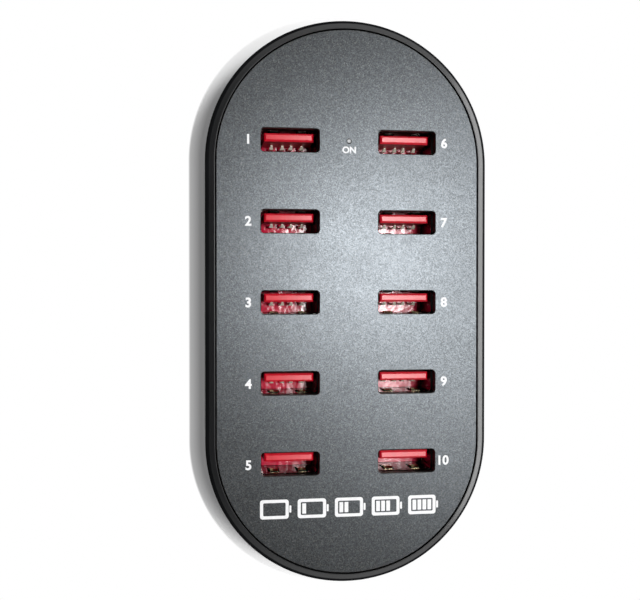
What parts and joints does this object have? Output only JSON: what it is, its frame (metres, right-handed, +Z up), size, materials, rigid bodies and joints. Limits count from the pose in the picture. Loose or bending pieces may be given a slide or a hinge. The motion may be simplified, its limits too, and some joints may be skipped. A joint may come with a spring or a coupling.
{
  "type": "multi port usb desktop charger",
  "caption": "Obround desktop charger with columns of USB-A ports in an inset top panel, a bevelled housing rim, rubber feet and a mains inlet at one end.",
  "frame": {"origin": "on the surface it stands on, under the middle of the obround plan", "axes": "+Z up through the ports, +Y along its length towards the mains inlet, +X across"},
  "size_m": [0.064, 0.1266, 0.0289],
  "materials": {
    "housing": "satin black",
    "panel": "dark grey with a fine metallic speckle",
    "cover": "fine grained black",
    "rubber": "matt",
    "sleeve_steel": "bright nickel",
    "port_plastic": "red",
    "contact_metal": "plated",
    "screw_steel": "zinc",
    "board": "green solder mask",
    "spacer_brass": "turned",
    "inlet_plastic": "black",
    "inlet_pin": "nickel plated",
    "light_pipe": "clear",
    "capacitor_can": "dark blue sleeve",
    "film_capacitor": "yellow",
    "package": "black moulding",
    "fuse_body": "clear tube",
    "ferrite": "matt",
    "winding_tape": "yellow tape"
  },
  "bodies": {
    "root": {"housing": "housing", "top_panel": "panel", "bottom_cover": "cover", "rubber_foot_1": "rubber", "rubber_foot_2": "rubber", "rubber_foot_3": "rubber", "rubber_foot_4": "rubber", "usb_sleeve_01": "sleeve_steel", "usb_sleeve_02": "sleeve_steel", "usb_sleeve_03": "sleeve_steel", "usb_sleeve_04": "sleeve_steel", "usb_sleeve_05": "sleeve_steel", "usb_sleeve_06": "sleeve_steel", "usb_sleeve_07": "sleeve_steel", "usb_sleeve_08": "sleeve_steel", "usb_sleeve_09": "sleeve_steel", "usb_sleeve_10": "sleeve_steel", "usb_insulator_01": "port_plastic", "usb_insulator_02": "port_plastic", "usb_insulator_03": "port_plastic", "usb_insulator_04": "port_plastic", "usb_insulator_05": "port_plastic", "usb_insulator_06": "port_plastic", "usb_insulator_07": "port_plastic", "usb_insulator_08": "port_plastic", "usb_insulator_09": "port_plastic", "usb_insulator_10": "port_plastic", "usb_contacts_01": "contact_metal", "usb_contacts_02": "contact_metal", "usb_contacts_03": "contact_metal", "usb_contacts_04": "contact_metal", "usb_contacts_05": "contact_metal", "usb_contacts_06": "contact_metal", "usb_contacts_07": "contact_metal", "usb_contacts_08": "contact_metal", "usb_contacts_09": "contact_metal", "usb_contacts_10": "contact_metal", "link_pins": "contact_metal", "case_screws": "screw_steel", "board_screws": "screw_steel", "usb_board": "board", "power_board": "board", "board_spacers": "spacer_brass", "ac_inlet_body": "inlet_plastic", "link_header": "inlet_plastic", "ac_inlet_pins": "inlet_pin", "indicator_lens": "light_pipe", "indicator_led": "light_pipe", "bulk_capacitor_1": "capacitor_can", "bulk_capacitor_2": "capacitor_can", "output_capacitor_1": "capacitor_can", "output_capacitor_2": "capacitor_can", "x_capacitor": "film_capacitor", "bridge_rectifier": "package", "switching_transistor": "package", "output_rectifier": "package", "fuse": "fuse_body", "transformer_core": "ferrite", "common_mode_choke": "ferrite", "transformer_winding": "winding_tape"}
  },
  "joints": []
}
